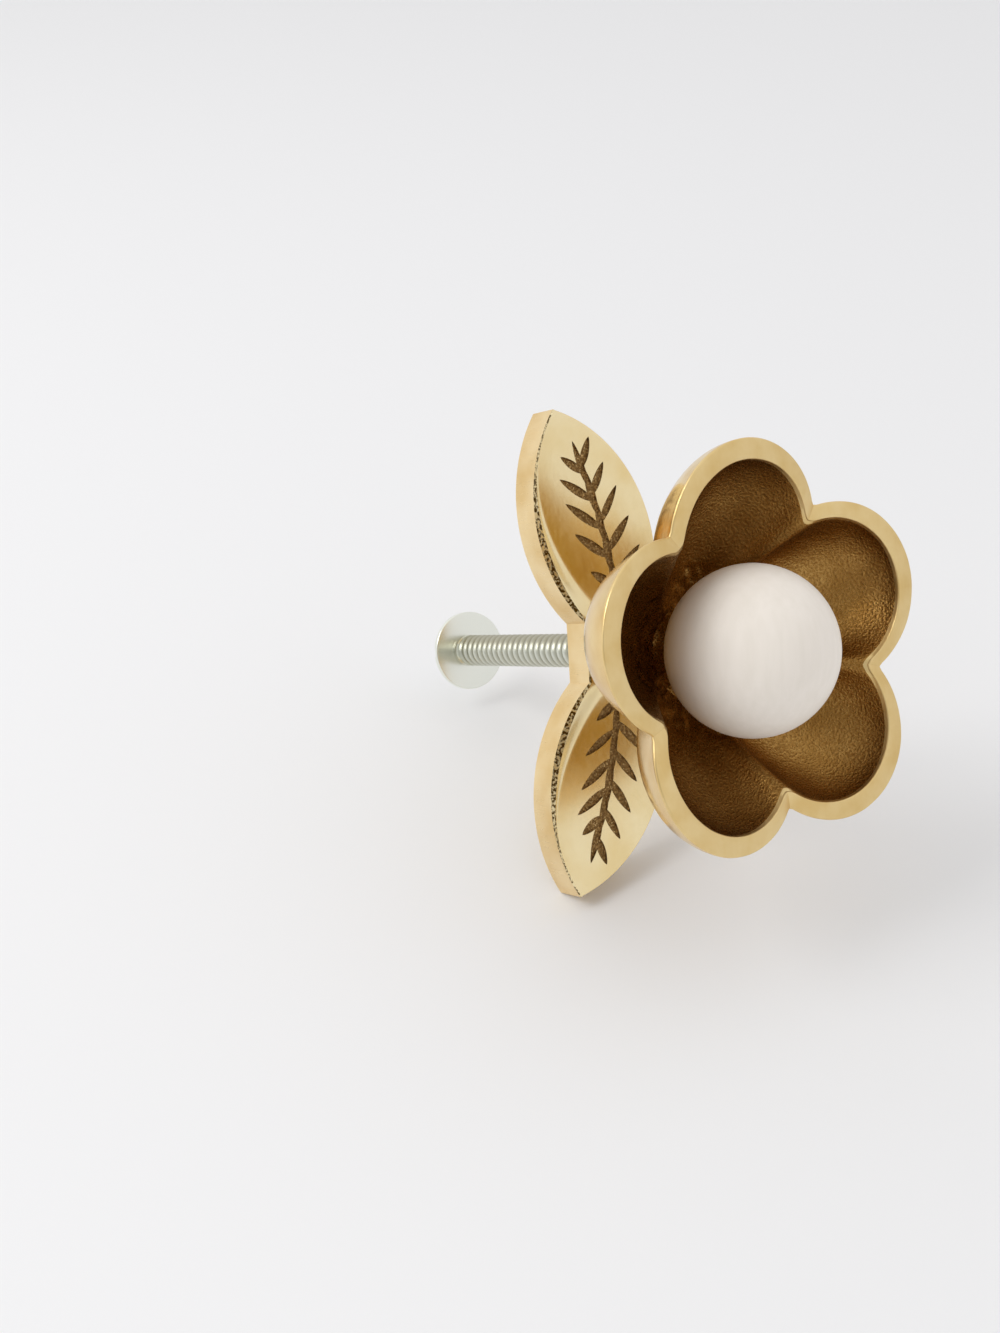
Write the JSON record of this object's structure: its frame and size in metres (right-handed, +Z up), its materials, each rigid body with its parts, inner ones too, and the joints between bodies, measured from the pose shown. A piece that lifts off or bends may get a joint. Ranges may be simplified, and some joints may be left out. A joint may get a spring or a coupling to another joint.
{
  "type": "flower cabinet knob",
  "caption": "Cast brass cabinet knob shaped as a petalled flower cup with a white bead, on a plate with two engraved leaves, fixed by a machine screw.",
  "frame": {"origin": "on the mounting screw's axis, in the flat back of the leaf plate, where it meets the cabinet front", "axes": "+Y into the cabinet front along the screw, so the flower faces -Y; +Z up, the side to which both leaves sweep; +X along the leaves, to the right"},
  "size_m": [0.0538, 0.0649, 0.0406],
  "materials": {
    "flower_brass": "sand cast, antiqued inside, brushed bright on the rim",
    "leaf_brass": "cast and brushed satin, veins left dark and rough",
    "bead_white": "satin white resin",
    "pin_brass": "drawn wire",
    "zinc_steel": "bright zinc plated"
  },
  "bodies": {
    "root": {"flower_cup": "flower_brass", "leaf_plate": "leaf_brass", "bead": "bead_white", "bead_pin": "pin_brass", "mounting_screw": "zinc_steel"}
  },
  "joints": []
}
